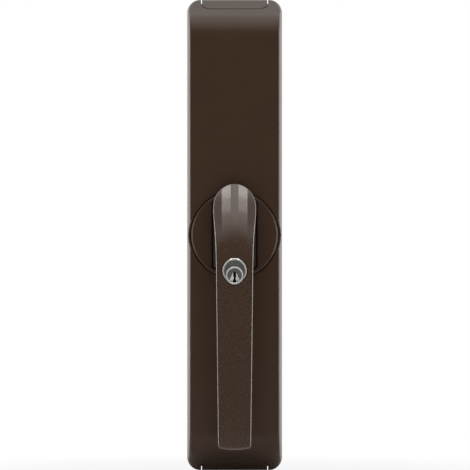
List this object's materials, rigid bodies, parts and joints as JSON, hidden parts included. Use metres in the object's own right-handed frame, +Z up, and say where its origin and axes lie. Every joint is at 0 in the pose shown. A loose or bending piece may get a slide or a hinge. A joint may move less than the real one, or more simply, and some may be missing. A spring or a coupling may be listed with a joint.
{
  "type": "locking window handle",
  "caption": "Tall case with ramped ends, a turning rosette and a lever with a key lock; the lever drives two racks for window bolt rods.",
  "frame": {"origin": "on the spindle axis, at the back face that lies on the sash", "axes": "+Z up along the case, +Y into the sash, the lever in front at -Y"},
  "size_m": [0.054, 0.108, 0.268],
  "materials": {
    "case_plastic": "satin brown moulding",
    "lever_coat": "brown metallic coat",
    "nickel": "satin nickel plate",
    "zinc_steel": "zinc plated steel",
    "spring_steel": "bright spring steel",
    "brass": "turned brass",
    "guide_plastic": "natural acetal"
  },
  "bodies": {
    "case": {"cover": "case_plastic", "upper_end_plug": "case_plastic", "lower_end_plug": "case_plastic", "base_plate": "zinc_steel", "bearing_bridge": "zinc_steel", "left_rack_guide": "guide_plastic", "right_rack_guide": "guide_plastic", "fixing_screws": "zinc_steel", "neck_bush": "guide_plastic", "thrust_washer": "zinc_steel"},
    "handle": {"handle": "lever_coat", "rosette_disc": "case_plastic", "bearing_flange": "zinc_steel", "flange_screws": "zinc_steel", "spindle": "zinc_steel", "spindle_pin": "zinc_steel", "drive_pinion": "zinc_steel", "spring_washer": "spring_steel", "retaining_ring": "spring_steel", "lock_housing": "nickel", "housing_pin": "zinc_steel", "driver_pins": "brass", "pin_springs": "spring_steel", "bolt_spring": "spring_steel"},
    "lock_plug": {"lock_plug": "nickel", "key_pins": "brass", "plug_clip": "spring_steel"},
    "lock_bolt": {"lock_bolt": "zinc_steel"},
    "upper_rod_drive": {"upper_rack": "zinc_steel", "upper_rod_coupler": "zinc_steel", "upper_rod_screw": "zinc_steel"},
    "lower_rod_drive": {"lower_rack": "zinc_steel", "lower_rod_coupler": "zinc_steel", "lower_rod_screw": "zinc_steel"}
  },
  "joints": [
    {"name": "handle_turn", "type": "hinge", "parent": "case", "child": "handle", "pos_m": [0, 0, 0], "axis": [0, 1, 0], "range_deg": [0, 180]},
    {"name": "plug_turn", "type": "hinge", "parent": "handle", "child": "lock_plug", "pos_m": [0, 0, -0.0225], "axis": [0, 1, 0], "range_deg": [0, 90]},
    {"name": "bolt_slide", "type": "slide", "parent": "handle", "child": "lock_bolt", "axis": [0, 1, 0], "range_m": [0, 0.005], "deforming": ["bolt_spring"]},
    {"name": "upper_rod_slide", "type": "slide", "parent": "case", "child": "upper_rod_drive", "axis": [0, 0, -1], "range_m": [0, 0.02513]},
    {"name": "lower_rod_slide", "type": "slide", "parent": "case", "child": "lower_rod_drive", "axis": [0, 0, 1], "range_m": [0, 0.02513]}
  ],
  "couplings": [
    {"joint": "upper_rod_slide", "follows": "handle_turn", "m_per_rad": 0.008},
    {"joint": "lower_rod_slide", "follows": "handle_turn", "m_per_rad": 0.008},
    {"joint": "bolt_slide", "follows": "plug_turn", "m_per_rad": 0.0031831}
  ]
}
